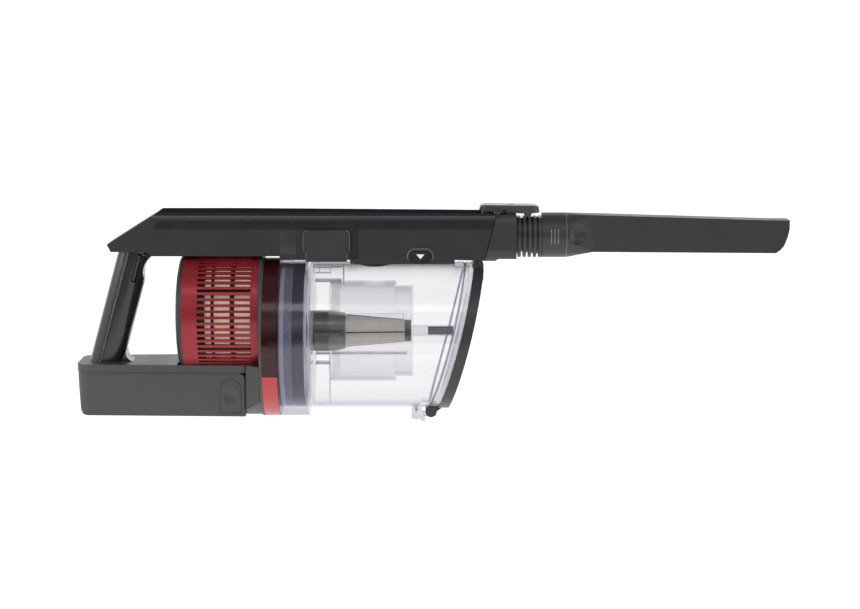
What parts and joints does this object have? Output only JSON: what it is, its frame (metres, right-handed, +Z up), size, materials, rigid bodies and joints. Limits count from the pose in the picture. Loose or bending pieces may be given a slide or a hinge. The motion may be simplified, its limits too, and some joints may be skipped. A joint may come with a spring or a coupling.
{
  "type": "handheld vacuum cleaner",
  "caption": "Cordless handheld vacuum with a clear cyclone dust cup, a drop door, a slide-on battery, a trigger grip and a long crevice tool.",
  "frame": {"origin": "middle of the whole length and width, at the height of the latch's toe, the lowest point", "axes": "+X along the cup towards the tool's tip, +Z up; the cup release button is on the -Y side"},
  "size_m": [0.6716, 0.1504, 0.2063],
  "materials": {
    "shell_matte": "satin",
    "shell_gloss": "gloss",
    "shell_satin": "satin",
    "base_grey": "satin",
    "tool_plastic": "satin",
    "lever_grey": "satin",
    "shroud_red": "satin",
    "band_red": "satin",
    "window_red": "gloss",
    "cup_clear": "gloss",
    "collar_smoke": "gloss",
    "door_clear": "gloss",
    "latch_clear": "gloss",
    "cyclone_clear": "gloss",
    "dark_plastic": "satin",
    "duct_grey": "satin",
    "hub_navy": "gloss",
    "holder_plum": "satin",
    "plug_plum": "satin",
    "black_rubber": "matte",
    "foam_grey": "matte",
    "felt_white": "matte",
    "pleat_beige": "matte",
    "mesh_steel": "woven",
    "steel": "satin",
    "spring_steel": "bright",
    "can_metal": "satin",
    "coil_copper": "satin",
    "board_green": "satin",
    "cell_blue": "satin",
    "contact_brass": "bright"
  },
  "bodies": {
    "body": {"spine_body": "shell_matte", "top_cover": "shell_gloss", "nozzle_body": "shell_satin", "saddle_brackets": "shell_satin", "airway_duct": "duct_grey", "inlet_seal": "black_rubber", "grip_front": "shell_matte", "grip_back": "base_grey", "base_housing": "base_grey", "motor_frame": "base_grey", "motor_end_cap": "shell_matte", "vent_shroud": "shroud_red", "filter_frame": "dark_plastic", "filter_media": "pleat_beige", "ring_band": "band_red", "ring_window": "window_red", "motor_can": "can_metal", "motor_mounts": "black_rubber", "bearings": "steel", "control_board": "board_green", "power_switch": "dark_plastic", "base_terminal": "dark_plastic", "screws": "steel", "trigger_pin": "steel", "lever_pin": "steel", "trigger_spring": "spring_steel", "cup_button_spring": "spring_steel", "lever_spring": "spring_steel"},
    "trigger": {"trigger": "shell_satin"},
    "cup_button": {"cup_button": "shell_gloss"},
    "tool_lever": {"tool_lever": "lever_grey"},
    "rotor": {"motor_shaft": "steel", "impeller": "can_metal", "armature": "coil_copper"},
    "crevice_tool": {"crevice_tool": "tool_plastic"},
    "battery": {"battery_case": "base_grey", "battery_lid": "base_grey", "battery_cells": "cell_blue", "battery_board": "board_green", "battery_contacts": "contact_brass", "charge_jack": "dark_plastic", "battery_button_spring": "spring_steel"},
    "battery_button": {"battery_button": "shell_satin"},
    "dust_cup": {"cup_body": "cup_clear", "cup_collar": "collar_smoke", "filter_holder": "holder_plum", "foam_filter": "foam_grey", "felt_filter": "felt_white", "cyclone_tube": "cyclone_clear", "cyclone_hub": "hub_navy", "mesh_cone": "mesh_steel", "mesh_cap": "dark_plastic", "axis_tube": "cyclone_clear", "axis_plug": "plug_plum", "door_pin": "steel", "latch_pin": "steel"},
    "door": {"door_frame": "dark_plastic", "door_pane": "door_clear", "door_seal": "black_rubber"},
    "cup_latch": {"cup_latch": "latch_clear"}
  },
  "joints": [
    {"name": "trigger_press", "type": "hinge", "parent": "body", "child": "trigger", "pos_m": [-0.27544, 0, 0.1544], "axis": [0, 1, 0], "range_deg": [0, 8], "stiffness_Nm_per_rad": 0.6, "springref_deg": -5.73, "deforming": ["trigger_spring"]},
    {"name": "cup_release_press", "type": "slide", "parent": "body", "child": "cup_button", "axis": [0, 1, 0], "range_m": [0, 0.003], "stiffness_N_per_m": 600, "springref_m": -0.001, "deforming": ["cup_button_spring"]},
    {"name": "tool_release_press", "type": "hinge", "parent": "body", "child": "tool_lever", "pos_m": [0.0671, 0, 0.2005], "axis": [0, -1, 0], "range_deg": [0, 6], "stiffness_Nm_per_rad": 0.6, "springref_deg": -5.73, "deforming": ["lever_spring"]},
    {"name": "motor_spin", "type": "hinge", "parent": "body", "child": "rotor", "pos_m": [-0.18, 0, 0.1024], "axis": [1, 0, 0], "continuous": true},
    {"name": "tool_pull", "type": "slide", "parent": "body", "child": "crevice_tool", "axis": [1, 0, 0], "range_m": [0, 0.06]},
    {"name": "battery_slide", "type": "slide", "parent": "body", "child": "battery", "axis": [-1, 0, 0], "range_m": [0, 0.17]},
    {"name": "battery_release_press", "type": "slide", "parent": "battery", "child": "battery_button", "axis": [0, 1, 0], "range_m": [0, 0.0025], "stiffness_N_per_m": 600, "springref_m": -0.001, "deforming": ["battery_button_spring"]},
    {"name": "cup_drop", "type": "slide", "parent": "body", "child": "dust_cup", "axis": [0, 0, -1], "range_m": [0, 0.16]},
    {"name": "door_open", "type": "hinge", "parent": "dust_cup", "child": "door", "pos_m": [0.0423, 0, 0.1498], "axis": [0, -1, 0], "range_deg": [0, 58]},
    {"name": "latch_press", "type": "hinge", "parent": "dust_cup", "child": "cup_latch", "pos_m": [-0.0159, 0, 0.0096], "axis": [0, 1, 0], "range_deg": [0, 14], "stiffness_Nm_per_rad": 0.4, "springref_deg": -5.73}
  ]
}
